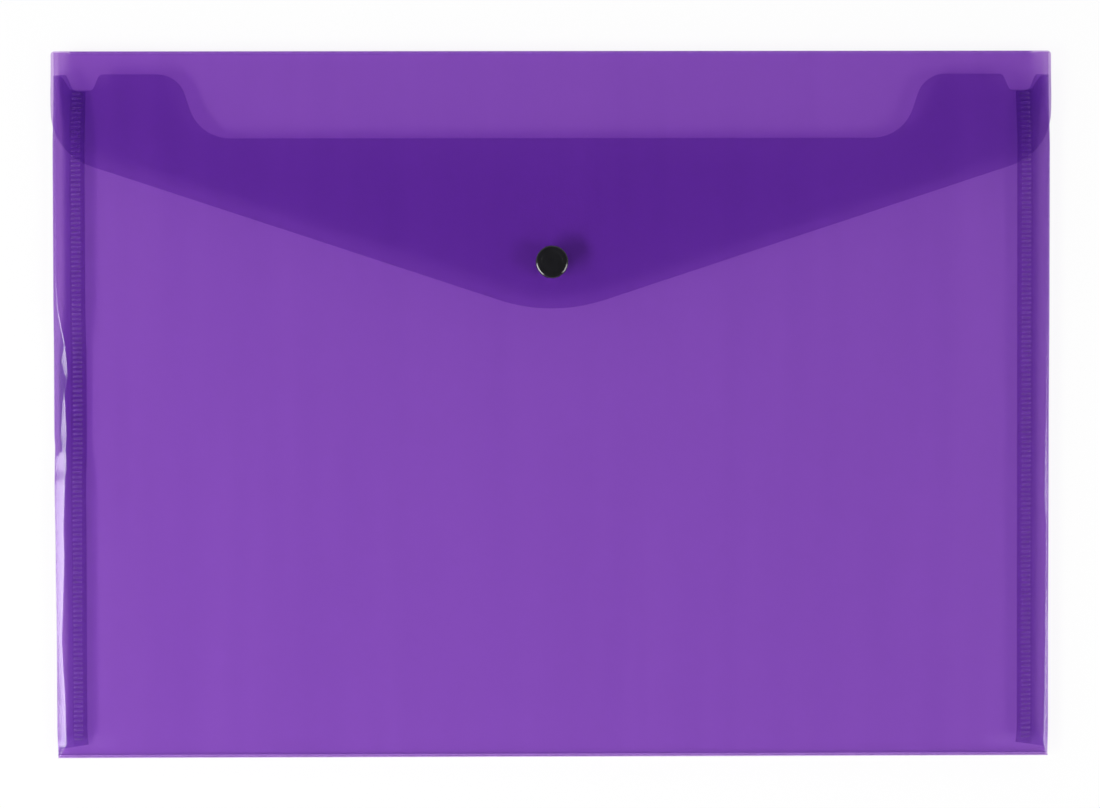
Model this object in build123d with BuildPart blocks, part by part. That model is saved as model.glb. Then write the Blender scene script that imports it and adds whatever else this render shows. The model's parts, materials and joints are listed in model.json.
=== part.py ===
"""A4 document wallet: a folded and welded polypropylene envelope with a pointed flap and one press stud.

It lies on its back. X runs across it, Y up towards the top edge, Z out of its front.
The origin is on the table under the middle of the wallet. All lengths are in millimetres.
"""

import os
from math import atan2, cos, sin, tan

from build123d import *

# The folded sheet
sheet = 0.2
wallet_width = 330.0
wallet_height = 233.4
pocket_depth = 5.4

# The scored creases: a solid bead on the inside of each fold
crease_radius = 0.3
crease_gap = 0.05
spine_inset = 6.0

# The closure flap
flap_side = 33.3
flap_point = 54.3
flap_corner_radius = 19.3
flap_tip_radius = 55.0
flap_ear_radius = 1.2

# The front panel's top edge
side_setback = 0.3
mouth_drop = 28.7
shoulder_drop = 7.6
shoulder_width = 25.9
thumb_cut_run = 7.0
thumb_cut_radius = 9.5
thumb_foot_radius = 14.0
relief_width = 10.8
relief_depth = 5.3
relief_run = 2.2
relief_radius = 1.8
edge_strip = 4.9
edge_strip_drop = 0.7
edge_strip_radius = 0.7

# The back panel and the welded side seams
back_inset = 0.1
tab_width = 10.6
tab_top_drop = 12.9
tab_mitre = 4.3
tab_base_gap = 0.6
rib_length = 2.9
rib_width = 0.8
rib_height = 0.1
rib_pitch = 1.583
rib_inset = 7.6
rib_end_gap = 0.6

# The press stud
snap_drop = 69.6
cap_diameter = 10.7
cap_height = 1.4
cap_round = 0.75
cap_dish_diameter = 6.6
cap_dish_depth = 0.12
cap_lip_run = 0.9
post_diameter = 1.8
post_gap = 0.05
rivet_diameter = 2.6
rivet_height = 0.2
socket_diameter = 8.6
socket_height = 1.35
socket_ceiling = 0.35
socket_round = 0.25
stud_flange_diameter = 8.6
stud_flange_height = 0.5
stud_flange_round = 0.2
stud_head_diameter = 4.0
stud_head_height = 0.75
stud_neck_run = 0.2
stud_lead = 0.3
stud_recess_gap = 0.1
snap_radial_gap = 0.25
snap_axial_gap = 0.15
rear_cap_height = 0.9
rear_cap_round = 0.4

# The flap clears the front panel by this much over its shoulders
shoulder_gap = 0.3

# One overrun serves all cuts
overrun = 1.0

# Levels and lines shared by the panels
top_y = wallet_height / 2
crease_y = top_y - crease_radius
flap_half = wallet_width / 2
spine_half = flap_half - spine_inset
side_half = flap_half - side_setback
front_top = 2 * sheet + pocket_depth
fold_radius = (front_top - sheet) / 2
fold_z = sheet + fold_radius
front_half = side_half - fold_radius
back_half = side_half - back_inset
mouth_y = top_y - mouth_drop
shoulder_y = top_y - shoulder_drop
strip_y = shoulder_y - edge_strip_drop
relief_y = shoulder_y - relief_depth
tab_inner = side_half - tab_width
tab_top_y = top_y - tab_top_drop
tab_base_y = tab_base_gap - crease_y
snap_y = top_y - snap_drop
cut_radius = crease_radius + crease_gap

# The flap rises from its crease so that it clears the shoulders and the closed press stud
snap_stand_off = stud_flange_height + snap_axial_gap + socket_height
flap_tilt = atan2(snap_stand_off - shoulder_gap, shoulder_y - snap_y)
flap_rise = (crease_radius - sheet) / cos(flap_tilt) + (crease_y - shoulder_y) * tan(flap_tilt)
flap_axis_z = front_top + shoulder_gap - flap_rise

# Sections across the four creases, each centred on its hinge line
top_rear_section = Plane(origin=(0, crease_y, crease_radius), x_dir=(0, 1, 0), z_dir=(1, 0, 0))
flap_section = Plane(origin=(0, crease_y, flap_axis_z), x_dir=(0, 1, 0), z_dir=(1, 0, 0))
base_rear_section = Plane(origin=(0, -crease_y, crease_radius), x_dir=(0, 1, 0), z_dir=(1, 0, 0))
base_front_section = Plane(
    origin=(0, -crease_y, front_top - crease_radius), x_dir=(0, 1, 0), z_dir=(1, 0, 0)
)

# The flap's outer face, from its crease, and the press stud's axis on it
flap_plane = Plane(
    origin=(0, crease_y + crease_radius * sin(flap_tilt), flap_axis_z + crease_radius * cos(flap_tilt)),
    x_dir=(1, 0, 0),
    z_dir=(0, sin(flap_tilt), cos(flap_tilt)),
)
stud_middle_z = front_top + stud_flange_height + stud_head_height / 2
snap_down = flap_plane.origin.Y - snap_y
snap_up = stud_middle_z - flap_plane.origin.Z
snap_run = snap_down * cos(flap_tilt) + snap_up * sin(flap_tilt)
cap_plane = Plane(
    origin=flap_plane.from_local_coords((0, -snap_run, 0)), x_dir=(1, 0, 0), z_dir=-flap_plane.y_dir
)
cap_axis = Axis(cap_plane.origin, flap_plane.z_dir)
stud_plane = Plane(origin=(0, snap_y, front_top), x_dir=(1, 0, 0), z_dir=(0, -1, 0))
stud_axis = Axis(stud_plane.origin, (0, 0, 1))
post_radius = post_diameter / 2
post_hole_radius = post_radius + post_gap
rivet_radius = rivet_diameter / 2


def mirrored(right_half):
    """Close a right half outline, listed from the bottom up, with its mirror image."""
    return right_half + [(-x, y) for x, y in reversed(right_half)]


os.makedirs("parts", exist_ok=True)

# Back panel: as wide as the folded front, with room for a crease at each end
with BuildPart() as back_panel:
    with BuildSketch():
        Rectangle(2 * back_half, 2 * crease_y)
    extrude(amount=sheet)
    with BuildSketch(top_rear_section, base_rear_section):
        Circle(cut_radius)
    extrude(amount=flap_half + overrun, both=True, mode=Mode.SUBTRACT)
back_panel.part.label = "back_panel"
export_step(back_panel.part, "parts/back_panel.step")

# Crease between the back panel and the top spine
with BuildPart() as top_rear_crease:
    with BuildSketch(top_rear_section):
        Circle(crease_radius)
    extrude(amount=spine_half, both=True)
top_rear_crease.part.label = "top_rear_crease"
export_step(top_rear_crease.part, "parts/top_rear_crease.step")

# Top spine: the upright strip along the top edge, shorter than the panels at both ends
with BuildPart() as top_spine:
    with BuildSketch(Plane.YZ):
        with BuildLine():
            Polyline(
                (top_y - sheet, crease_radius),
                (top_y, crease_radius),
                (top_y, flap_axis_z),
                (top_y - sheet, flap_axis_z),
                close=True,
            )
        make_face()
    extrude(amount=spine_half, both=True)
    with BuildSketch(top_rear_section, flap_section):
        Circle(cut_radius)
    extrude(amount=flap_half + overrun, both=True, mode=Mode.SUBTRACT)
top_spine.part.label = "top_spine"
export_step(top_spine.part, "parts/top_spine.step")

# Crease between the top spine and the flap
with BuildPart() as flap_crease:
    with BuildSketch(flap_section):
        Circle(crease_radius)
    extrude(amount=spine_half, both=True)
flap_crease.part.label = "flap_crease"
export_step(flap_crease.part, "parts/flap_crease.step")

# Closure flap: straight sides, rounded corners and a blunt rounded point
with BuildPart() as closure_flap:
    with BuildSketch(flap_plane):
        with BuildLine():
            FilletPolyline(
                (-flap_half, 0),
                (-flap_half, -flap_side),
                (0, -flap_side - flap_point),
                (flap_half, -flap_side),
                (flap_half, 0),
                radius=[
                    flap_ear_radius,
                    flap_corner_radius,
                    flap_tip_radius,
                    flap_corner_radius,
                    flap_ear_radius,
                ],
                close=True,
            )
        make_face()
        with Locations((0, -snap_run)):
            Circle(post_hole_radius, mode=Mode.SUBTRACT)
    extrude(amount=-sheet)
    with BuildSketch(flap_section):
        Circle(cut_radius)
    extrude(amount=flap_half + overrun, both=True, mode=Mode.SUBTRACT)
closure_flap.part.label = "closure_flap"
export_step(closure_flap.part, "parts/closure_flap.step")

# Crease between the back panel and the base spine
with BuildPart() as base_rear_crease:
    with BuildSketch(base_rear_section):
        Circle(crease_radius)
    extrude(amount=side_half, both=True)
base_rear_crease.part.label = "base_rear_crease"
export_step(base_rear_crease.part, "parts/base_rear_crease.step")

# Base spine: the upright strip along the bottom edge
with BuildPart() as base_spine:
    with BuildSketch(Plane.YZ):
        with BuildLine():
            Polyline(
                (-top_y, crease_radius),
                (sheet - top_y, crease_radius),
                (sheet - top_y, front_top - crease_radius),
                (-top_y, front_top - crease_radius),
                close=True,
            )
        make_face()
    extrude(amount=side_half, both=True)
    with BuildSketch(base_rear_section, base_front_section):
        Circle(cut_radius)
    extrude(amount=side_half + overrun, both=True, mode=Mode.SUBTRACT)
base_spine.part.label = "base_spine"
export_step(base_spine.part, "parts/base_spine.step")

# Crease that the front panel opens about
with BuildPart() as base_front_crease:
    with BuildSketch(base_front_section):
        Circle(crease_radius)
    extrude(amount=side_half, both=True)
base_front_crease.part.label = "base_front_crease"
export_step(base_front_crease.part, "parts/base_front_crease.step")

# Front panel: a thumb cut-out between two shoulders, and a relief notch beside each side fold
strip_inner = side_half - edge_strip
relief_inner = strip_inner - relief_width
thumb_cut_half = relief_inner - shoulder_width - thumb_cut_run / 2
notch_radii = [edge_strip_radius, relief_radius, relief_radius, relief_radius]
edge_radii = [0, 0] + notch_radii + [thumb_cut_radius, thumb_foot_radius]
with BuildPart() as front_panel:
    with BuildSketch(Plane.XY.offset(front_top)):
        with BuildLine():
            FilletPolyline(
                mirrored(
                    [
                        (front_half, -crease_y),
                        (front_half, strip_y),
                        (strip_inner, strip_y),
                        (strip_inner - relief_run, relief_y),
                        (relief_inner + relief_run, relief_y),
                        (relief_inner, shoulder_y),
                        (thumb_cut_half + thumb_cut_run / 2, shoulder_y),
                        (thumb_cut_half - thumb_cut_run / 2, mouth_y),
                    ]
                ),
                radius=edge_radii + edge_radii[::-1],
                close=True,
            )
        make_face()
        with Locations((0, snap_y)):
            Circle(post_hole_radius, mode=Mode.SUBTRACT)
    extrude(amount=-sheet)
    with BuildSketch(base_front_section):
        Circle(cut_radius)
    extrude(amount=front_half + overrun, both=True, mode=Mode.SUBTRACT)
front_panel.part.label = "front_panel"
export_step(front_panel.part, "parts/front_panel.step")

# Each side: the rounded fold, the tab that it turns into, and the row of weld ridges on the tab
fold_base_y = cut_radius - crease_y
rib_run = tab_top_y - tab_base_y - tab_mitre - 2 * rib_end_gap
rib_count = int(rib_run / rib_pitch) + 1
rib_middle_y = tab_top_y - rib_end_gap - rib_run / 2
for side, sign in (("left", -1), ("right", 1)):
    fold_plane = Plane(
        origin=(sign * front_half, fold_base_y, fold_z), x_dir=(sign, 0, 0), z_dir=(0, 1, 0)
    )
    with BuildPart() as side_fold:
        with BuildSketch(fold_plane):
            with BuildLine():
                outer = CenterArc((0, 0), fold_radius, -90, 180)
                inner = CenterArc((0, 0), fold_radius - sheet, -90, 180)
                Line(outer @ 0, inner @ 0)
                Line(outer @ 1, inner @ 1)
            make_face()
        extrude(amount=strip_y - fold_base_y)
    side_fold.part.label = f"{side}_side_fold"
    export_step(side_fold.part, f"parts/{side}_side_fold.step")

    with BuildPart() as weld_tab:
        with BuildSketch(Plane.XY.offset(sheet)):
            with BuildLine():
                Polyline(
                    (sign * front_half, tab_base_y),
                    (sign * front_half, tab_top_y),
                    (sign * tab_inner, tab_top_y),
                    (sign * tab_inner, tab_base_y + tab_mitre),
                    close=True,
                )
            make_face()
        extrude(amount=sheet)
    weld_tab.part.label = f"{side}_weld_tab"
    export_step(weld_tab.part, f"parts/{side}_weld_tab.step")

    rib_plane = Plane(origin=(sign * (side_half - rib_inset), rib_middle_y, 2 * sheet))
    with BuildPart() as weld_ribs:
        with BuildSketch(rib_plane):
            with GridLocations(0, rib_pitch, 1, rib_count):
                Rectangle(rib_length, rib_width)
        extrude(amount=rib_height)
    weld_ribs.part.label = f"{side}_weld_ribs"
    export_step(weld_ribs.part, f"parts/{side}_weld_ribs.step")

# Outer cap of the press stud: a dished button whose post is riveted through the flap and the socket
cap_radius = cap_diameter / 2
cap_dish_radius = cap_dish_diameter / 2
cap_floor = cap_height - cap_dish_depth
socket_top = -sheet
socket_rim = socket_top - socket_height
cavity_top = socket_top - socket_ceiling
with BuildPart() as snap_cap:
    with BuildSketch(cap_plane):
        with BuildLine():
            FilletPolyline(
                (0, cap_floor),
                (cap_dish_radius, cap_floor),
                (cap_dish_radius + cap_lip_run, cap_height),
                (cap_radius, cap_height),
                (cap_radius, 0),
                (post_radius, 0),
                (post_radius, cavity_top),
                (rivet_radius, cavity_top),
                (rivet_radius, cavity_top - rivet_height),
                (0, cavity_top - rivet_height),
                radius=[0, 0, cap_dish_depth, cap_round, 0, 0, 0, 0, 0, 0],
                close=True,
            )
        make_face()
    revolve(axis=cap_axis)
snap_cap.part.label = "snap_cap"
export_step(snap_cap.part, "parts/snap_cap.step")

# Socket under the flap: a ring with a closed top, open below for the stud's head
socket_radius = socket_diameter / 2
cavity_radius = stud_head_diameter / 2 + snap_radial_gap
with BuildPart() as snap_socket:
    with BuildSketch(cap_plane):
        with BuildLine():
            FilletPolyline(
                (post_hole_radius, socket_top),
                (socket_radius, socket_top),
                (socket_radius, socket_rim),
                (cavity_radius, socket_rim),
                (cavity_radius, cavity_top),
                (post_hole_radius, cavity_top),
                radius=[0, socket_round, socket_round, socket_round, 0, 0],
                close=True,
            )
        make_face()
    revolve(axis=cap_axis)
snap_socket.part.label = "snap_socket"
export_step(snap_socket.part, "parts/snap_socket.step")

# Stud on the front panel: a flange and a waisted head with a lead-in at its top
flange_radius = stud_flange_diameter / 2
head_radius = stud_head_diameter / 2
head_top = stud_flange_height + stud_head_height
recess_radius = rivet_radius + stud_recess_gap
recess_floor = head_top - rivet_height
with BuildPart() as snap_stud:
    with BuildSketch(stud_plane):
        with BuildLine():
            FilletPolyline(
                (post_hole_radius, 0),
                (flange_radius, 0),
                (flange_radius, stud_flange_height),
                (head_radius - stud_neck_run, stud_flange_height),
                (head_radius, head_top - stud_lead),
                (head_radius - stud_lead, head_top),
                (recess_radius, head_top),
                (recess_radius, recess_floor),
                (post_hole_radius, recess_floor),
                radius=[0, 0, stud_flange_round, 0, 0, 0, 0, 0, 0],
                close=True,
            )
        make_face()
    revolve(axis=stud_axis)
snap_stud.part.label = "snap_stud"
export_step(snap_stud.part, "parts/snap_stud.step")

# Rear cap inside the pocket: a flat disc whose post is riveted through the front panel and the stud
with BuildPart() as snap_rear_cap:
    with BuildSketch(stud_plane):
        with BuildLine():
            FilletPolyline(
                (0, -sheet - rear_cap_height),
                (cap_radius, -sheet - rear_cap_height),
                (cap_radius, -sheet),
                (post_radius, -sheet),
                (post_radius, recess_floor),
                (rivet_radius, recess_floor),
                (rivet_radius, head_top),
                (0, head_top),
                radius=[0, rear_cap_round, 0, 0, 0, 0, 0, 0],
                close=True,
            )
        make_face()
    revolve(axis=stud_axis)
snap_rear_cap.part.label = "snap_rear_cap"
export_step(snap_rear_cap.part, "parts/snap_rear_cap.step")
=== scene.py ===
"""Looks of a translucent violet A4 document wallet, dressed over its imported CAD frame.

X runs across the wallet, Y up to its top fold and Z out of its front. Sizes are in millimetres.
"""

import json
import math

import bpy
import numpy as np
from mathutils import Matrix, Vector


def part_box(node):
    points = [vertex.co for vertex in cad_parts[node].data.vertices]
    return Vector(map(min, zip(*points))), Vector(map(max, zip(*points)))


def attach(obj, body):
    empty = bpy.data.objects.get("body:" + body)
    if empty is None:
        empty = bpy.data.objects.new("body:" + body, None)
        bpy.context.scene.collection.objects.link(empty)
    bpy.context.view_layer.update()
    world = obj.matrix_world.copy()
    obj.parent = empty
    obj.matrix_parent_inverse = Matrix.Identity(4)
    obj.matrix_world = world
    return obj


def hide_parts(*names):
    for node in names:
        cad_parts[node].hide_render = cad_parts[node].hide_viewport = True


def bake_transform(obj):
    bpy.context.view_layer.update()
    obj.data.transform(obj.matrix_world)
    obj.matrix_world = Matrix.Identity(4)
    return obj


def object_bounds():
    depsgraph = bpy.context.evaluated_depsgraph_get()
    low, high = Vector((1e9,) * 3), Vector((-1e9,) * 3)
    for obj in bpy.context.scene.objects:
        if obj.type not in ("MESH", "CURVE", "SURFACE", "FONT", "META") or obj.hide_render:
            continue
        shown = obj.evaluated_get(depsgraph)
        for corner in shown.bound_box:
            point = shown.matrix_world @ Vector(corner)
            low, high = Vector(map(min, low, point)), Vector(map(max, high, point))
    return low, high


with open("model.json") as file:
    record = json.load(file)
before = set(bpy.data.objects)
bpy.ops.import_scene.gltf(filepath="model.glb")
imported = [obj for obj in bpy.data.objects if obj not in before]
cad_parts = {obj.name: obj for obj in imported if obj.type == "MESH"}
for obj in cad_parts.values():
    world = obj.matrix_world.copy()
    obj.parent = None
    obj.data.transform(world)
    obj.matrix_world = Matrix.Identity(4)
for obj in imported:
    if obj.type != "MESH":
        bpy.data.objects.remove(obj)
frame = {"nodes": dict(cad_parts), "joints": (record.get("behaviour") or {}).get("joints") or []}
cad_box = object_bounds()


# Back panel, creases and spines
# The wallet's back wall and the narrow strips along its top and bottom edges, cut from the same 0.2 mm
# extruded polypropylene sheet. The creases between them are scored and pressed, so they fold as hinges.

MM = 0.001


def box_mm(node_name):
    """A CAD node's lowest and highest corners at rest, in millimetres."""
    return np.array(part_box(node_name)) / MM


def linear(hex_colour):
    """An sRGB hex colour as linear RGBA."""
    srgb = np.array([int(hex_colour[i : i + 2], 16) for i in (1, 3, 5)]) / 255
    rgb = np.where(srgb <= 0.04045, srgb / 12.92, ((srgb + 0.055) / 1.055) ** 2.4)
    return (*rgb.tolist(), 1.0)


def add_node(tree, kind, inputs=None, **settings):
    """Add one shader node. Settings are its own properties, inputs its sockets' values or links."""
    node = tree.nodes.new(kind)
    for name, value in settings.items():
        setattr(node, name, value)
    for socket, value in (inputs or {}).items():
        if isinstance(value, bpy.types.NodeSocket):
            tree.links.new(value, node.inputs[socket])
        else:
            node.inputs[socket].default_value = value
    return node


def new_material(name):
    """An empty node material and its tree."""
    material = bpy.data.materials.new(name)
    material.use_nodes = True
    material.node_tree.nodes.clear()
    return material, material.node_tree


def per_metre(feature_mm):
    """Texture scale whose features are about this wide."""
    return 1 / (feature_mm * MM)


def polypropylene_film(name, thin, thick, haze, haze_colour, roughness):
    """Tinted clear polypropylene. Each face passes the colour of half the sheet's thickness.

    The extruder leaves faint lengthwise streaks in the thickness and the chill roll a fine grain. The
    gloss wavers a little where the sheet isn't quite flat. A trace of haze scatters light back, more of
    it where a speck of dust lies in the sheet.
    """
    streak_width = 7.0
    streak_length = 160.0
    grain_width = 0.9
    ripple_width = 16.0
    ripple_depth = 0.1
    speck_spacing = 24.0
    speck_radius = 0.22
    speck_haze = 4 * haze + 0.1
    grain_share = 0.4
    polypropylene_ior = 1.49

    material, tree = new_material(name)
    place = add_node(tree, "ShaderNodeTexCoord").outputs["Object"]
    stretched = add_node(
        tree,
        "ShaderNodeMapping",
        {"Vector": place, "Scale": (1.0, streak_width / streak_length, 1.0)},
    ).outputs["Vector"]
    streaks = add_node(
        tree,
        "ShaderNodeTexNoise",
        {"Vector": stretched, "Scale": per_metre(streak_width), "Detail": 2.0},
    ).outputs["Fac"]
    grain = add_node(
        tree,
        "ShaderNodeTexNoise",
        {"Vector": place, "Scale": per_metre(grain_width), "Detail": 1.0},
    ).outputs["Fac"]
    uneven = add_node(
        tree,
        "ShaderNodeMix",
        {"Factor": grain_share, "A": streaks, "B": grain},
        data_type="FLOAT",
    ).outputs["Result"]
    tint = add_node(
        tree,
        "ShaderNodeMix",
        {"Factor": uneven, 6: linear(thin), 7: linear(thick)},
        data_type="RGBA",
    ).outputs[2]
    clear = add_node(tree, "ShaderNodeBsdfTransparent", {"Color": tint}).outputs["BSDF"]

    to_speck = add_node(
        tree,
        "ShaderNodeTexVoronoi",
        {"Vector": place, "Scale": per_metre(speck_spacing)},
        voronoi_dimensions="2D",
    ).outputs["Distance"]
    cloudy = add_node(
        tree,
        "ShaderNodeMapRange",
        {
            "Value": to_speck,
            "From Max": speck_radius / speck_spacing,
            "To Min": speck_haze,
            "To Max": haze,
        },
    ).outputs["Result"]
    ripple = add_node(
        tree,
        "ShaderNodeTexNoise",
        {"Vector": place, "Scale": per_metre(ripple_width), "Detail": 1.0},
    ).outputs["Fac"]
    wavering = add_node(
        tree,
        "ShaderNodeBump",
        {"Height": ripple, "Strength": 0.15, "Distance": ripple_depth * MM},
    ).outputs["Normal"]
    scatter = add_node(
        tree,
        "ShaderNodeBsdfPrincipled",
        {
            "Base Color": linear(haze_colour),
            "Roughness": 0.6,
            "IOR": polypropylene_ior,
            "Specular IOR Level": 0.0,
        },
    ).outputs["BSDF"]
    film = add_node(
        tree, "ShaderNodeMixShader", {"Fac": cloudy, 1: clear, 2: scatter}
    ).outputs["Shader"]

    mirror = add_node(
        tree, "ShaderNodeFresnel", {"IOR": polypropylene_ior, "Normal": wavering}
    ).outputs["Fac"]
    leaving = add_node(tree, "ShaderNodeNewGeometry").outputs["Backfacing"]
    entering = add_node(
        tree, "ShaderNodeMath", {0: 1.0, 1: leaving}, operation="SUBTRACT"
    ).outputs["Value"]
    shine = add_node(
        tree, "ShaderNodeMath", {0: mirror, 1: entering}, operation="MULTIPLY"
    ).outputs["Value"]
    gloss = add_node(
        tree,
        "ShaderNodeBsdfAnisotropic",
        {"Color": linear("#ffffff"), "Roughness": roughness, "Normal": wavering},
    ).outputs["BSDF"]
    surface = add_node(
        tree, "ShaderNodeMixShader", {"Fac": shine, 1: film, 2: gloss}
    ).outputs["Shader"]
    add_node(tree, "ShaderNodeOutputMaterial", {"Surface": surface})
    return material


violet_film = polypropylene_film(
    "violet_polypropylene_film", "#eee0f7", "#eadbf4", 0.012, "#8a5cc0", 0.18
)
cut_edge = polypropylene_film(
    "die_cut_polypropylene_edge", "#f2e9f9", "#eee3f7", 0.25, "#a98bd2", 0.35
)


def dress(material, *node_names):
    """Give CAD nodes that keep their shape a material."""
    for node_name in node_names:
        mesh = frame["nodes"][node_name].data
        mesh.materials.clear()
        mesh.materials.append(material)


dress(violet_film, "top_rear_crease", "top_spine", "flap_crease")


sharp_angle = math.radians(50)


def grid_quads(grid):
    """The four corners of each cell of a grid of vertex numbers, in order round the cell."""
    return np.stack([grid[:-1, :-1], grid[1:, :-1], grid[1:, 1:], grid[:-1, 1:]], axis=2).reshape(-1, 4)


def grid_border(grid):
    """The vertex numbers round a grid's border, back to the first one."""
    return np.concatenate([grid[:, 0], grid[-1, 1:], grid[-2::-1, -1], grid[0, -2::-1]])


def new_piece(name, points, faces, *materials):
    """A smooth mesh object at the origin, from points in millimetres."""
    mesh = bpy.data.meshes.new(name)
    mesh.from_pydata((points * MM).tolist(), [], faces)
    for material in materials:
        mesh.materials.append(material)
    mesh.shade_smooth()
    piece = bpy.data.objects.new(name, mesh)
    bpy.context.scene.collection.objects.link(piece)
    return piece


def film_solid(name, middle, thickness, *materials, shaded_end_cells=0):
    """A closed film about a grid of points, with walls along its four borders.

    The two skins lie half the thickness either side of the grid along its normals, which are the cross
    products of its two directions of travel. The first skin is the one that the normals point to. The
    materials are those of the skins, of the walls, and of so many cells at the first and last ends of
    the grid, which carry painted shade as a deeper tint.
    """
    along_u, along_v = np.gradient(middle, axis=0), np.gradient(middle, axis=1)
    normal = np.cross(along_u, along_v)
    normal /= np.linalg.norm(normal, axis=2, keepdims=True)
    rows, columns = middle.shape[:2]
    skins = np.concatenate([middle + normal * thickness / 2, middle - normal * thickness / 2])
    upper, lower = np.arange(2 * rows * columns).reshape(2, rows, columns)
    border = grid_border(upper)
    beneath = border + rows * columns
    walls = np.stack([border[1:], border[:-1], beneath[:-1], beneath[1:]], axis=1)
    quads = np.concatenate([grid_quads(upper), grid_quads(lower[:, ::-1]), walls])
    cells = np.zeros((rows - 1, columns - 1), np.int32)
    cells[:shaded_end_cells] = 2
    cells[rows - 1 - shaded_end_cells :] = 2
    slots = np.concatenate([cells.ravel(), cells.ravel(), np.ones(len(walls), np.int32)])
    piece = new_piece(name, skins.reshape(-1, 3), quads.tolist(), *materials)
    piece.data.polygons.foreach_set("material_index", slots)
    piece.data.set_sharp_from_angle(angle=sharp_angle)
    return piece


back_low, back_high = box_mm("back_panel")
sheet = back_high[2] - back_low[2]
air = 0.01
film_thickness = sheet - 2 * air
curl_start = 128.0
curl_end = 152.0
# Up each side: height, then how far the seam lifts off the table
left_lift = [
    (-116.0, 0.0),
    (-107.0, 3.8),
    (-26.0, 3.8),
    (-12.0, 1.8),
    (14.0, 1.8),
    (34.0, 4.2),
    (84.0, 4.2),
    (113.0, 0.0),
]
right_lift = [(-116.0, 0.0), (-107.0, 4.2), (84.0, 4.2), (113.0, 0.0)]
ear_lift = 2.0
ear_lift_start = 90.0
# Up each side: height, then how far the wallet's edge draws in
left_inset = [
    (-116.0, 0.3),
    (-107.0, 0.6),
    (-77.0, 0.6),
    (-51.0, 0.35),
    (-25.0, 0.1),
    (-15.0, 0.0),
    (-9.0, -0.25),
    (13.0, -0.25),
    (32.0, 0.0),
]
right_inset = [
    (-116.0, -0.25),
    (-107.0, 0.2),
    (-75.0, 0.2),
    (-40.0, 0.1),
    (-12.0, 0.05),
    (40.0, -0.15),
    (80.0, -0.2),
]


def eased(place, table):
    """Values at places along a table of places and values, with a smooth step from each to the next."""
    places, values = np.array(table).T
    first = np.clip(np.searchsorted(places, place) - 1, 0, len(places) - 2)
    share = np.clip((place - places[first]) / np.diff(places)[first], 0, 1)
    return values[first] + np.diff(values)[first] * share**2 * (3 - 2 * share)


spine_end = box_mm("top_spine")[1][0]


def seam_lift(x, y):
    """How far the springy sheet of the empty wallet curls up off the table towards its side seams.

    Across the wallet it is a smooth step over the curl, and up it each seam's lift comes from its table.
    The ears past the ends of the top spine are free, so they lift too, by another smooth step.
    """
    seams = np.where(x < 0, eased(y, left_lift), eased(y, right_lift))
    ears = ear_lift * eased(y, [(ear_lift_start, 0), (back_high[1], 1)])
    curl = eased(np.abs(x), [(curl_start, 0), (curl_end, 1)])
    return seams * curl + ears * eased(np.abs(x), [(spine_end, 0), (back_high[0], 1)])


def edge_inset(side, y):
    """How far the wallet's edge draws in on the left (-1) or right (1), at heights up it."""
    return eased(y, left_inset if side < 0 else right_inset)


ear_rise = 0.4
ear_step = 0.1


def back_grid():
    """The back panel's middle surface: columns across it, each from its bottom to its top edge.

    Past the ends of the top spine the top edge steps up to the ears. The outermost columns draw in
    with the wallet's edge, and all lie on the curl of the seams.
    """
    flat_columns, curl_columns, ear_columns, rows = 10, 40, 14, 130
    half = np.concatenate(
        [
            np.linspace(0, curl_start, flat_columns, endpoint=False),
            np.linspace(curl_start, spine_end, curl_columns),
            np.linspace(spine_end + ear_step, back_high[0], ear_columns),
        ]
    )
    x = np.concatenate([-half[:0:-1], half])[:, None]
    top = back_high[1] + ear_rise * (np.abs(x) > spine_end)
    y = back_low[1] + (top - back_low[1]) * np.linspace(0, 1, rows)
    near_edge = eased(np.abs(x), [(curl_end, 0), (back_high[0], 1)])
    x = x - near_edge * np.where(x < 0, -edge_inset(-1, y), edge_inset(1, y))
    return np.stack([x, y, back_low[2] + sheet / 2 + seam_lift(x, y)], axis=2)


back_sheet = film_solid("back_sheet", back_grid(), film_thickness, violet_film, cut_edge)
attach(back_sheet, "back")
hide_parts("back_panel")


# Front sheet: front panel, side folds and weld tabs
# One piece of the sheet: the front wall with its thumb cut-out, turned down at both sides into the folds
# and on into the tabs that lie inside on the back panel. Handling has pressed the left fold into facets.

front_low, front_high = box_mm("front_panel")
fold_low, fold_high = box_mm("right_side_fold")
tab_low, tab_high = box_mm("right_weld_tab")
stud_low, stud_high = box_mm("snap_stud")
stud_y = (stud_low[1] + stud_high[1]) / 2
front_z = front_high[2] - sheet / 2
tab_z = tab_high[2] - sheet / 2
side_x = fold_high[0] - sheet / 2


def unit(vector):
    """The vector at length one."""
    return vector / np.linalg.norm(vector)


def rounded_edge(x, corners, radii):
    """Height over x of an outline through corners whose inner ones are rounded by tangent arcs.

    Between corners it is a straight line. At a corner of half angle h and radius r the arc's centre lies
    r / sin(h) along the bisector, and the arc runs r / tan(h) out along both sides.
    """
    corners = np.array(corners, float)
    y = np.interp(x, corners[:, 0], corners[:, 1])
    for before, corner, after, radius in zip(corners, corners[1:], corners[2:], radii):
        back, ahead = unit(before - corner), unit(after - corner)
        half_angle = math.acos(back @ ahead) / 2
        centre = corner + unit(back + ahead) * radius / math.sin(half_angle)
        reach = radius / math.tan(half_angle)
        start, end = sorted((corner[0] + back[0] * reach, corner[0] + ahead[0] * reach))
        rise = np.sqrt(np.maximum(radius**2 - (x - centre[0]) ** 2, 0))
        arc = centre[1] + np.sign(corner[1] - centre[1]) * rise
        y = np.where((x >= start) & (x <= end), arc, y)
    return y


facet_tilt = 16.5
shelf_tilt = 30.0
wall_tilt = 81.0
brow_radius = 0.9
foot_radius = 0.3
least_shelf = 0.02
fold_steps = (4, 4, 12, 10)


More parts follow.
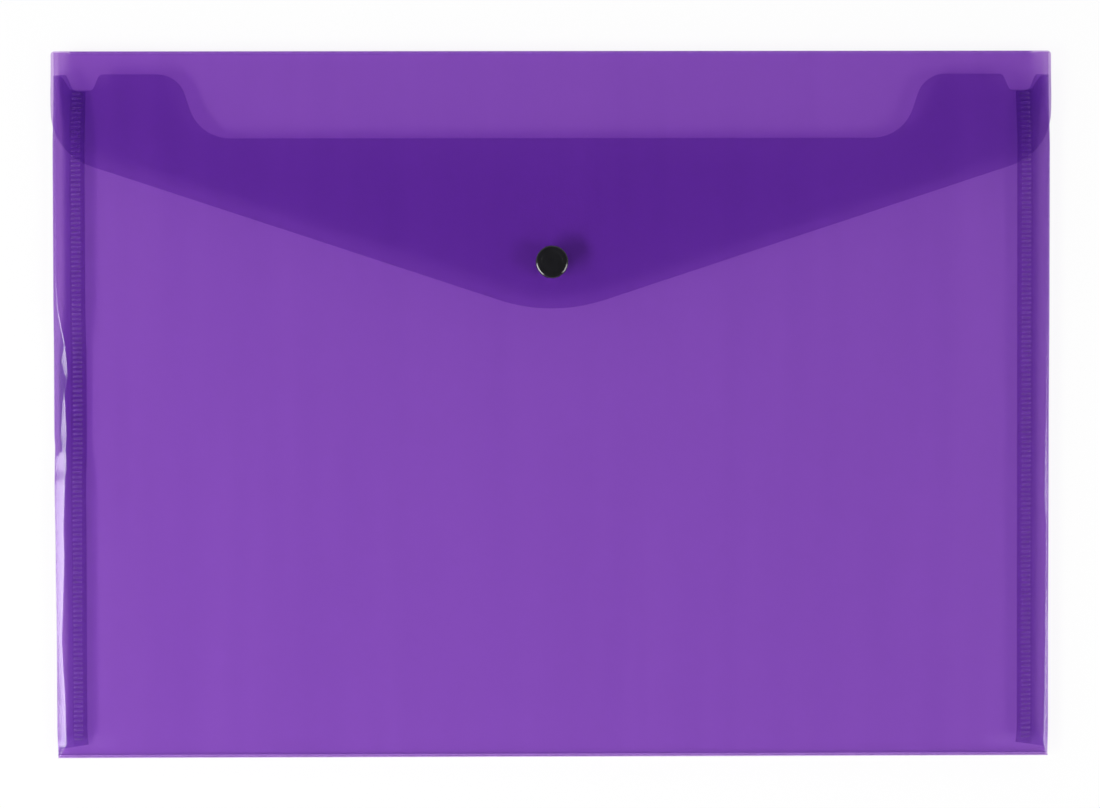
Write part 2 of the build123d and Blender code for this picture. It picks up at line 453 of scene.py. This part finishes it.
def fold_section(reach, facet, rounding, drop):
    """Points of a fold's cross section from the front panel's plane round to the tab's.

    The sheet's tilt grows from 0 to 180 degrees in four arcs, with straight runs between them: the
    facet, the shelf and the side wall. The shelf takes up what the facet leaves of the reach, and the
    wall brings the fold down by the drop. Where the drop is too small for a wall, the rounding shrinks
    to fit. Points run outwards and down from the front panel's plane, with x = 0 at the outermost
    point. The arguments are arrays along the fold.
    """
    zero = np.zeros_like(facet)
    tilts = np.radians([zero, zero + facet_tilt, zero + shelf_tilt, zero + wall_tilt, zero + 180])
    falls = np.cos(tilts[:-1]) - np.cos(tilts[1:])
    across = np.cos(tilts)
    arcs = brow_radius * np.sin(tilts[1]) + rounding * (np.sin(tilts[3]) - np.sin(tilts[1]))
    facet = np.minimum(facet, (reach - arcs - least_shelf) / across[1])
    shelf = (reach - arcs - facet * across[1]) / across[2]
    flats = facet * np.sin(tilts[1]) + shelf * np.sin(tilts[2])
    spare = drop - brow_radius * falls[0] - foot_radius * falls[3] - flats
    rounding = np.minimum(rounding, spare / (falls[1] + falls[2]))
    wall = spare - rounding * (falls[1] + falls[2])
    radii = np.stack([zero + brow_radius, rounding, rounding, zero + foot_radius])
    runs = (facet, shelf, wall / np.sin(tilts[3]), zero)
    x, z = [zero], [zero]
    for corner, run in enumerate(runs):
        turn = np.linspace(tilts[corner], tilts[corner + 1], fold_steps[corner])
        x += list(x[-1] + radii[corner] * (np.sin(turn[1:]) - np.sin(turn[0])))
        z += list(z[-1] - radii[corner] * (np.cos(turn[0]) - np.cos(turn[1:])))
        x.append(x[-1] + run * np.cos(turn[-1]))
        z.append(z[-1] - run * np.sin(turn[-1]))
    x, z = np.stack(x[:-1]), np.stack(z[:-1])
    return x - x.max(axis=0), z


mouth_drop = 28.7
shoulder_drop = 7.6
shoulder_width = 25.9
thumb_cut_run = 7.0
thumb_foot_radius = 14.0
thumb_cut_radius = 9.5
relief_width = 10.8
relief_depth = 5.3
relief_run = 2.2
relief_radius = 1.8
edge_strip = 4.9
edge_strip_radius = 0.7
strip_rise = 0.5
tab_mitre = 1.6

top_y = cad_box[1][1] / MM
base_y = front_low[1]
strip_y = fold_high[1] + strip_rise
shoulder_y = top_y - shoulder_drop
mouth_y = top_y - mouth_drop
relief_y = shoulder_y - relief_depth
strip_inner = fold_high[0] - edge_strip
relief_inner = strip_inner - relief_width
thumb_outer = relief_inner - shoulder_width
top_corners = [
    (0, mouth_y),
    (thumb_outer - thumb_cut_run, mouth_y),
    (thumb_outer, shoulder_y),
    (relief_inner, shoulder_y),
    (relief_inner + relief_run, relief_y),
    (strip_inner - relief_run, relief_y),
    (strip_inner, strip_y),
    (fold_high[0], strip_y),
]
top_radii = [
    thumb_foot_radius,
    thumb_cut_radius,
    relief_radius,
    relief_radius,
    relief_radius,
    edge_strip_radius,
]

panel_sag = 0.3
stud_hold = 30.0
thumb_curve_start = thumb_outer - 24.0
thumb_curve_end = thumb_outer + 9.0
margin_start = relief_inner - 2.0
panel_x = np.concatenate(
    [
        np.linspace(0, thumb_curve_start, 10, endpoint=False),
        np.linspace(thumb_curve_start, thumb_curve_end, 48, endpoint=False),
        np.linspace(thumb_curve_end, margin_start, 5, endpoint=False),
    ]
)
margin_share = np.linspace(0, 1, 40, endpoint=False)
tab_share = np.array([0.93, 0.86, 0.79, 0.72, 0.65, 0.58, 0.5, 0.25, 0])
tab_shoulder = [(0.4, 0), (0.85, 1)]
# Cells at each tab's inner end, over the weld, that take the deeper tint of painted shade
weld_shade_cells = 2
row_share = np.linspace(0, 1, 170)


def half_sheet(sign, fold_shape):
    """Half of the front sheet as a grid, columns from its middle line out to its tab's inner edge.

    Each column runs from the bottom edge to the top edge. The panel's columns keep their x, the margin's
    share out the way to the fold's first point, the fold's follow its section at each height, and the
    tab's share out the way from the fold's last point to the tab's inner edge. The tab's top edge rises
    to the fold's by a smooth step. Between its held edges and the stud the panel sags a little, as a
    squared sine down it and a squared parabola across it.
    """
    height, *shape = np.array(fold_shape[::-1]).T
    fold_y = fold_low[1] + (strip_y - fold_low[1]) * row_share
    reach, facet, rounding = (np.interp(fold_y, height, row) for row in shape)
    drop = front_z - tab_z - seam_lift(sign * side_x, fold_y)
    fold_x, fold_z = fold_section(reach, facet, rounding, drop)
    fold_x = fold_x + side_x - edge_inset(sign, fold_y)

    margin_top_x = margin_start + (fold_x[0, -1] - margin_start) * margin_share
    panel_top = rounded_edge(np.concatenate([panel_x, margin_top_x]), top_corners, top_radii)
    panel_y = base_y + (panel_top - base_y)[:, None] * row_share
    margin_end = np.interp(panel_y[len(panel_x) :], fold_y, fold_x[0])
    margin_x = margin_start + (margin_end - margin_start) * margin_share[:, None]
    flat_x = np.concatenate([np.broadcast_to(panel_x[:, None], panel_y[: len(panel_x)].shape), margin_x])
    down = np.sin(np.pi * np.clip((panel_y - base_y) / (mouth_y - base_y), 0, 1)) ** 2
    across = np.clip(1 - (flat_x / margin_start) ** 2, 0, 1) ** 2
    free = 1 - np.exp(-(flat_x**2 + (panel_y - stud_y) ** 2) / stud_hold**2)
    flat_z = front_z - panel_sag * down * across * free

    tab_base = tab_low[1] + tab_mitre * (2 - tab_share)
    tab_top = tab_high[1] + (strip_y - tab_high[1]) * eased(tab_share, tab_shoulder)
    tab_y = tab_base[:, None] + (tab_top - tab_base)[:, None] * row_share
    tab_x = tab_low[0] + (fold_x[-1] - tab_low[0]) * tab_share[:, None]
    tab_rise = tab_z + seam_lift(sign * tab_x, tab_y)

    x = np.concatenate([flat_x, fold_x, tab_x])
    y = np.concatenate([panel_y, np.broadcast_to(fold_y, fold_x.shape), tab_y])
    z = np.concatenate([flat_z, front_z + fold_z, tab_rise])
    return np.stack([sign * x, y, z], axis=2)


# Down each fold: height, then the fold's reach, the widest its facet may be, and the rounding
left_fold = [
    (110.0, 2.1, 0.4, 1.8),
    (40.0, 1.9, 0.3, 1.7),
    (20.0, 4.2, 0.2, 1.2),
    (14.5, 4.75, 1.9, 1.2),
    (9.5, 5.05, 0.6, 1.2),
    (4.0, 4.05, 0.3, 1.2),
    (-9.5, 4.55, 2.0, 1.1),
    (-15.0, 3.95, 1.1, 1.0),
    (-17.5, 4.1, 4.0, 0.3),
    (-20.5, 4.2, 4.0, 0.3),
    (-24.5, 3.93, 2.9, 0.5),
    (-30.0, 3.55, 4.0, 0.3),
    (-41.0, 3.0, 4.0, 0.15),
    (-52.0, 3.1, 4.0, 0.15),
    (-65.0, 2.5, 4.0, 0.15),
    (-76.0, 1.9, 4.0, 0.15),
    (-85.0, 2.2, 4.0, 0.15),
    (-98.0, 3.0, 4.0, 0.15),
    (-112.0, 3.2, 4.0, 0.15),
    (-116.0, 0.7, 4.0, 0.15),
]
right_fold = [
    (110.0, 2.0, 0.3, 1.6),
    (94.0, 1.35, 0.1, 1.2),
    (86.0, 1.4, 4.0, 0.15),
    (76.0, 1.35, 0.1, 1.2),
    (0.0, 1.15, 0.1, 0.9),
    (-12.0, 1.35, 0.4, 0.8),
    (-32.0, 1.5, 1.0, 0.3),
    (-40.0, 1.0, 0.1, 0.7),
    (-62.0, 1.1, 0.1, 0.7),
    (-75.0, 1.1, 4.0, 0.15),
    (-95.0, 1.3, 4.0, 0.15),
    (-112.0, 1.6, 4.0, 0.15),
    (-116.0, 0.7, 4.0, 0.15),
]
front_grid = np.concatenate([half_sheet(-1, left_fold)[:0:-1], half_sheet(1, right_fold)])
# The welding horn has fused the tabs' inner halves to the back panel. There the film takes a deeper
# tint, painted shade that darkens the seam band
seam_shade_film = polypropylene_film(
    "seam_shaded_polypropylene_film", "#e5d2f1", "#e1cbed", 0.012, "#8a5cc0", 0.25
)
front_sheet = film_solid(
    "front_sheet",
    front_grid,
    film_thickness,
    violet_film,
    cut_edge,
    seam_shade_film,
    shaded_end_cells=weld_shade_cells,
)
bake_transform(front_sheet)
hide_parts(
    "front_panel",
    "left_side_fold",
    "right_side_fold",
    "left_weld_tab",
    "right_weld_tab",
)


# Base strip
# The wallet's bottom edge: a narrow strip of the sheet between two pressed creases, which join it to the
# back and front panels. The front panel swings open about the front one.

base_low = box_mm("base_spine")[0]
base_crease_low, base_crease_high = box_mm("base_rear_crease")
left_lean_share = 1.0
right_lean_share = 0.8


def base_grid():
    """The strip's middle surface: columns along it, each from the back panel to the front panel.

    The section runs down into a quarter circle, up the strip and through a second quarter circle. The
    strip's ends draw in with the wallet's edge and lean in by a share of the folds' side walls' lean.
    """
    middle_y = base_low[1] + sheet / 2
    bend = base_crease_high[2] - base_crease_low[2] - sheet / 2
    bend_steps = 8
    turn = np.linspace(0, math.pi / 2, bend_steps)
    y = middle_y + bend * (1 - np.sin(turn))
    z = tab_z - sheet + bend * (1 - np.cos(turn))
    y = np.concatenate([[base_crease_high[1]], y, y[::-1], [base_crease_high[1]]])
    z = np.concatenate([[z[0]], z, front_z + z[0] - z[::-1], [front_z]])
    left, right = (fold_high[0] - edge_inset(side, np.array(fold_low[1])) for side in (-1, 1))
    lean = z / math.tan(math.radians(wall_tilt))
    columns = 41
    share = np.linspace(-1, 1, columns)[:, None]
    left, right = left - left_lean_share * lean, right - right_lean_share * lean
    x = share * np.where(share < 0, left, right)
    return np.stack(np.broadcast_arrays(x, y, z), axis=2)


base_strip = film_solid("base_strip", base_grid(), film_thickness, violet_film, cut_edge)
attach(base_strip, "back")
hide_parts("base_rear_crease", "base_spine", "base_front_crease")


# Weld ridges
# Rows of short ridges down both tabs, left by the ribbed horn that welds tab and back panel together.
# The squeezed polypropylene has whitened there, so the ridges read paler than the seam around them.

ridge_pitch = 1.583
welded = polypropylene_film(
    "whitened_weld_polypropylene", "#fbf8fd", "#f8f4fc", 0.12, "#cdbce8", 0.25
)


def weld_ridges(side):
    """A row of closed pillows on the lifted seam of the left or right tab.

    The top of each is a quartic along the ridge times a parabola across it, and its flat underside is a
    fan about a point at its middle.
    """
    low, high = box_mm(f"{side}_weld_ribs")
    count = int((high[1] - low[1]) / ridge_pitch) + 1
    width = high[1] - low[1] - (count - 1) * ridge_pitch
    u, v = np.meshgrid(np.linspace(-1, 1, 5), np.linspace(-1, 1, 4), indexing="ij")
    rise = (1 - u**4) * (1 - v**2)
    x = (low[0] + high[0]) / 2 + u * (high[0] - low[0]) / 2
    y = low[1] + width / 2 + v * width / 2
    z = low[2] + air + rise * (high[2] - low[2] - air)
    foot = np.array([[x.mean(), y.mean(), low[2] + air]])
    ridge = np.concatenate([np.stack([x, y, z], axis=2).reshape(-1, 3), foot])
    shifts = np.arange(count)[:, None] * np.array([0, ridge_pitch, 0])
    points = (shifts[:, None] + ridge).reshape(-1, 3)
    points[:, 2] += seam_lift(points[:, 0], points[:, 1])
    grid = np.arange(u.size).reshape(u.shape)
    tops = grid_quads(grid)
    border = grid_border(grid)
    fan = np.stack([border[1:], border[:-1], np.full(len(border) - 1, u.size)], axis=1)
    first = np.arange(count)[:, None, None] * len(ridge)
    faces = (first + tops).reshape(-1, 4).tolist() + (first + fan).reshape(-1, 3).tolist()
    piece = new_piece(f"{side}_weld_ridges", points, faces, welded)
    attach(piece, "back")
    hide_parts(f"{side}_weld_ribs")


weld_ridges("left")
weld_ridges("right")


# Stud, rear cap and socket
# The press stud's inner pieces: a moulded stud on the front panel, held by the post of a flat cap inside
# the pocket, and the socket that snaps over it from the flap. Black acetal, straight from the mould.


def moulded_acetal(name):
    """Black acetal: a deep black gloss, a faint mould grain and a slightly uneven sheen."""
    grain_width = 0.35
    sheen_patch = 4.0
    material, tree = new_material(name)
    place = add_node(tree, "ShaderNodeTexCoord").outputs["Object"]
    grain = add_node(
        tree,
        "ShaderNodeTexNoise",
        {"Vector": place, "Scale": per_metre(grain_width), "Detail": 2.0},
    ).outputs["Fac"]
    patches = add_node(
        tree,
        "ShaderNodeTexNoise",
        {"Vector": place, "Scale": per_metre(sheen_patch), "Detail": 2.0},
    ).outputs["Fac"]
    colour = add_node(
        tree,
        "ShaderNodeMix",
        {"Factor": patches, 6: linear("#141416"), 7: linear("#1e1e21")},
        data_type="RGBA",
    ).outputs[2]
    roughness = add_node(
        tree,
        "ShaderNodeMapRange",
        {"Value": patches, "To Min": 0.1, "To Max": 0.2},
    ).outputs["Result"]
    bump = add_node(
        tree, "ShaderNodeBump", {"Height": grain, "Strength": 0.06, "Distance": 0.02 * MM}
    ).outputs["Normal"]
    surface = add_node(
        tree,
        "ShaderNodeBsdfPrincipled",
        {"Base Color": colour, "Roughness": roughness, "IOR": 1.52, "Normal": bump},
    ).outputs["BSDF"]
    add_node(tree, "ShaderNodeOutputMaterial", {"Surface": surface})
    return material


black_acetal = moulded_acetal("black_moulded_acetal")
dress(black_acetal, "snap_stud", "snap_rear_cap", "snap_socket")


# Closure flap
# The pointed flap, die-cut from the same sheet and folded down over the mouth from the top crease. It
# rises a little towards its tip, where the closed press stud holds it off the front panel.

flap_side = 33.3
flap_point = 54.3
flap_corner_radius = 19.3
flap_tip_radius = 55.0
flap_ear_radius = 1.2
crease_gap = 0.36
flap_bow = 0.25
edge_trim = 0.1
ear_reach_up = 0.62

flap_node = frame["nodes"]["closure_flap"].data
face_areas = np.empty(len(flap_node.polygons))
flap_node.polygons.foreach_get("area", face_areas)
face_normals = np.empty(3 * len(flap_node.polygons))
flap_node.polygons.foreach_get("normal", face_normals)
face_normals = face_normals.reshape(-1, 3)
flap_normal = face_normals[np.argmax(face_areas * (face_normals[:, 2] > 0))]
flap_down = np.array([0, -flap_normal[2], flap_normal[1]])
flap_hinge = next(j for j in frame["joints"] if j["name"] == "flap_fold")
crease_low, crease_high = box_mm("flap_crease")
crease_radius = (crease_high[2] - crease_low[2]) / 2
flap_origin = np.array(flap_hinge["pos_m"]) / MM + flap_normal * (crease_radius - sheet / 2)
flap_half = cad_box[1][0] / MM - edge_trim
stud_run = (flap_origin[1] - stud_y) / flap_normal[2]


def flap_grid():
    """The flap's middle surface: columns across it, each from its rounded lower edge up to the crease.

    The lower edge is the pointed outline with its arcs, and the upper one has rounded ears. Points lie
    in the flap's tilted plane, from which it bows as a squared sine down it, but not near the stud.
    """
    ear_reach = 16.0
    half_across = np.concatenate(
        [
            np.linspace(0, flap_half - ear_reach, 44, endpoint=False),
            flap_half - ear_reach * (1 - np.sin(np.linspace(0, math.pi / 2, 26))),
            [spine_end, spine_end + ear_step],
        ]
    )
    half_across = np.sort(half_across)
    across = np.concatenate([-half_across[:0:-1], half_across])
    lower = rounded_edge(
        np.abs(across),
        [(-flap_half, flap_side), (0, flap_side + flap_point), (flap_half, flap_side), (flap_half, 0)],
        [flap_tip_radius, flap_corner_radius],
    )
    upper = rounded_edge(
        np.abs(across),
        [
            (0, crease_gap),
            (spine_end, crease_gap),
            (spine_end + ear_step, crease_gap - ear_reach_up),
            (flap_half, crease_gap - ear_reach_up),
            (flap_half, flap_side),
        ],
        [0, 0, flap_ear_radius],
    )
    share = np.linspace(1, 0, 60)
    run = upper[:, None] + (lower - upper)[:, None] * share
    to_stud = np.hypot(across[:, None], run - stud_run)
    bow = flap_bow * np.sin(np.pi * share) ** 2 * (1 - np.exp(-((to_stud / stud_hold) ** 2)))
    offsets = np.stack(np.broadcast_arrays(across[:, None], run, bow), axis=2)
    return flap_origin + offsets @ np.array([[1, 0, 0], flap_down, flap_normal])


flap_sheet = film_solid("flap_sheet", flap_grid(), film_thickness, violet_film, cut_edge)
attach(flap_sheet, "flap")
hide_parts("closure_flap")


# Stud cap
# The round black button on the flap: moulded acetal with a softly sloped rim and a shallow dish in its
# top. Its post passes through the flap and is riveted into the socket beneath.

cap_low, cap_high = box_mm("snap_cap")
cap_radius = (cap_high[0] - cap_low[0]) / 2
cap_height = 1.4
first_ring = 0.6
dish_radius = 3.3
dish_depth = 0.12
dish_step = 0.4
slope_start = 4.25
slope_knee = 4.7
slope_end = 5.15
knee_tilt = 17.0
end_tilt = 25.0
underside_round = 0.15


def cap_profile():
    """Radii and heights of the cap's outline from the middle of its top to the middle of its underside.

    The dish rises by a smooth step. The rim's tilt grows along straight lines to its end, and the height
    is the sum of its tangents. An arc takes the tilt on to 90 degrees at the cap's side.
    """
    dish_r = np.linspace(first_ring, dish_radius + dish_step, 16)
    step = np.clip((dish_r - dish_radius) / dish_step, 0, 1)
    dish_z = cap_height - dish_depth * (1 - step**2 * (3 - 2 * step))
    slope_r = np.linspace(slope_start, slope_end, 14)
    tilt = np.radians(
        np.interp(slope_r, [slope_start, slope_knee, slope_end], [0, knee_tilt, end_tilt])
    )
    fall = (np.tan(tilt[1:]) + np.tan(tilt[:-1])) / 2 * np.diff(slope_r)
    slope_z = cap_height - np.concatenate([[0], np.cumsum(fall)])
    arc_tilt = math.radians(end_tilt)
    turn = np.linspace(arc_tilt, math.pi / 2, 10)[1:]
    arc_radius = (cap_radius - slope_end) / (1 - math.sin(arc_tilt))
    arc_r = slope_end + arc_radius * (np.sin(turn) - math.sin(arc_tilt))
    arc_z = slope_z[-1] - arc_radius * (math.cos(arc_tilt) - np.cos(turn))
    under_r = [cap_radius, cap_radius - underside_round, cap_radius / 2]
    under_z = [underside_round, 0, 0]
    radii = np.concatenate([dish_r, slope_r, arc_r, under_r])
    heights = np.concatenate([dish_z, slope_z, arc_z, under_z])
    return radii, heights


def turned(name, radii, heights, foot, axis, material):
    """A closed turned piece: rings at the given radii and heights, with a point at either end.

    Ring points are the foot plus the height along the axis plus the radius round it.
    """
    segments = 96
    angle = np.arange(segments) * 2 * np.pi / segments
    side = unit(np.cross(axis, (0, 1, 0)))
    ahead = np.cross(axis, side)
    spokes = np.cos(angle)[:, None] * side + np.sin(angle)[:, None] * ahead
    rings = foot + heights[:, None, None] * axis + radii[:, None, None] * spokes
    ends = foot + np.array([[heights[0]], [heights[-1]]]) * axis
    index = np.arange(len(radii) * segments).reshape(len(radii), segments)
    index = np.concatenate([index, index[:, :1]], axis=1)
    top, bottom = rings.shape[0] * segments + np.arange(2)
    crown = np.stack([index[0, :-1], index[0, 1:], np.full(segments, top)], axis=1)
    base = np.stack([index[-1, 1:], index[-1, :-1], np.full(segments, bottom)], axis=1)
    faces = grid_quads(index).tolist() + crown.tolist() + base.tolist()
    return new_piece(name, np.concatenate([rings.reshape(-1, 3), ends]), faces, material)


cap_y = (cap_low[1] + cap_high[1]) / 2
cap_top = np.array([0, cap_y, cap_high[2] - slope_knee * flap_normal[1]])
cap_foot = cap_top - flap_normal * cap_height
stud_cap = turned("stud_cap", *cap_profile(), cap_foot, flap_normal, black_acetal)
stud_cap.data.set_sharp_from_angle(angle=sharp_angle)
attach(stud_cap, "flap")
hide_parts("snap_cap")


# Studio
# A white table, a room that is pale round its walls and dark overhead, and two soft boxes to the left
# and right of the wallet's lower half. The camera looks straight down from a metre above it.

table_half = 6.0
table_z = -0.05 * MM
shadow_lift = 0.9
table_corners = np.array([(-1, -1, 0), (1, -1, 0), (1, 1, 0), (-1, 1, 0)]) * table_half / MM
table_corners[:, 2] = table_z / MM
table_paint, table_tree = new_material("matt_white_table")
table_surface = add_node(
    table_tree,
    "ShaderNodeBsdfPrincipled",
    {"Base Color": linear("#fafafa"), "Roughness": 1.0, "Specular IOR Level": 0.0},
).outputs["BSDF"]
# Where the table is seen past the film, not through it, most of it shows as plain white
ray = add_node(table_tree, "ShaderNodeLightPath").outputs
in_sight = add_node(
    table_tree, "ShaderNodeMath", {0: ray["Is Camera Ray"], 1: ray["Is Glossy Ray"]}, operation="ADD"
).outputs["Value"]
in_sight = add_node(
    table_tree, "ShaderNodeMath", {0: in_sight, 1: ray["Is Transmission Ray"]}, operation="ADD"
).outputs["Value"]
past_film = add_node(
    table_tree, "ShaderNodeMath", {0: ray["Transparent Depth"], 1: 0.5}, operation="LESS_THAN"
).outputs["Value"]
bare = add_node(
    table_tree, "ShaderNodeMath", {0: in_sight, 1: past_film}, operation="MULTIPLY", use_clamp=True
).outputs["Value"]
lifted = add_node(
    table_tree, "ShaderNodeMath", {0: bare, 1: shadow_lift}, operation="MULTIPLY"
).outputs["Value"]
white = add_node(table_tree, "ShaderNodeEmission", {"Color": linear("#fefefe")}).outputs["Emission"]
table_shown = add_node(
    table_tree, "ShaderNodeMixShader", {"Fac": lifted, 1: table_surface, 2: white}
).outputs["Shader"]
add_node(table_tree, "ShaderNodeOutputMaterial", {"Surface": table_shown})
new_piece("table", table_corners, [(0, 1, 2, 3)], table_paint)

room = bpy.data.worlds.new("studio_room")
room.use_nodes = True
room_tree = room.node_tree
room_tree.nodes.clear()
direction = add_node(room_tree, "ShaderNodeTexCoord").outputs["Generated"]
height = add_node(room_tree, "ShaderNodeSeparateXYZ", {"Vector": direction}).outputs["Z"]
wall_light = add_node(
    room_tree,
    "ShaderNodeMapRange",
    {"Value": height, "From Min": 0.3, "From Max": 0.8, "To Min": 1.2, "To Max": 0.02},
    interpolation_type="SMOOTHSTEP",
).outputs["Result"]
room_light = add_node(
    room_tree, "ShaderNodeBackground", {"Color": linear("#ffffff"), "Strength": wall_light}
).outputs["Background"]
add_node(room_tree, "ShaderNodeOutputWorld", {"Surface": room_light})
bpy.context.scene.world = room


def soft_box(name, azimuth, elevation, distance, width, height, radiance):
    """A rectangular lamp that faces the wallet from a direction, in degrees and metres."""
    lamp = bpy.data.lights.new(name, "AREA")
    lamp.shape = "RECTANGLE"
    lamp.size = width
    lamp.size_y = height
    lamp.energy = 4 * width * height * radiance
    a, e = math.radians(azimuth), math.radians(elevation)
    towards = Vector((math.cos(a) * math.cos(e), math.sin(a) * math.cos(e), math.sin(e)))
    box = bpy.data.objects.new(name, lamp)
    box.location = towards * distance
    box.rotation_mode = "QUATERNION"
    box.rotation_quaternion = towards.to_track_quat("Z", "Y")
    box.visible_camera = False
    bpy.context.scene.collection.objects.link(box)


soft_box("left_soft_box", 205, 48, 1.2, 0.76, 0.28, 12)
soft_box("right_soft_box", 342, 48, 1.2, 0.52, 0.34, 6.5)

camera = bpy.data.cameras.new("camera")
camera.sensor_width = 36
camera.lens = 98.47
viewer = bpy.data.objects.new("camera", camera)
viewer.location = (-0.01053, 0.01859, 1.0)
viewer.rotation_euler = [math.radians(angle) for angle in (-1.056, -0.567, -0.104)]
bpy.context.scene.collection.objects.link(viewer)
bpy.context.scene.camera = viewer
bpy.context.scene.view_settings.view_transform = "Standard"
bpy.context.scene.cycles.transparent_max_bounces = 64
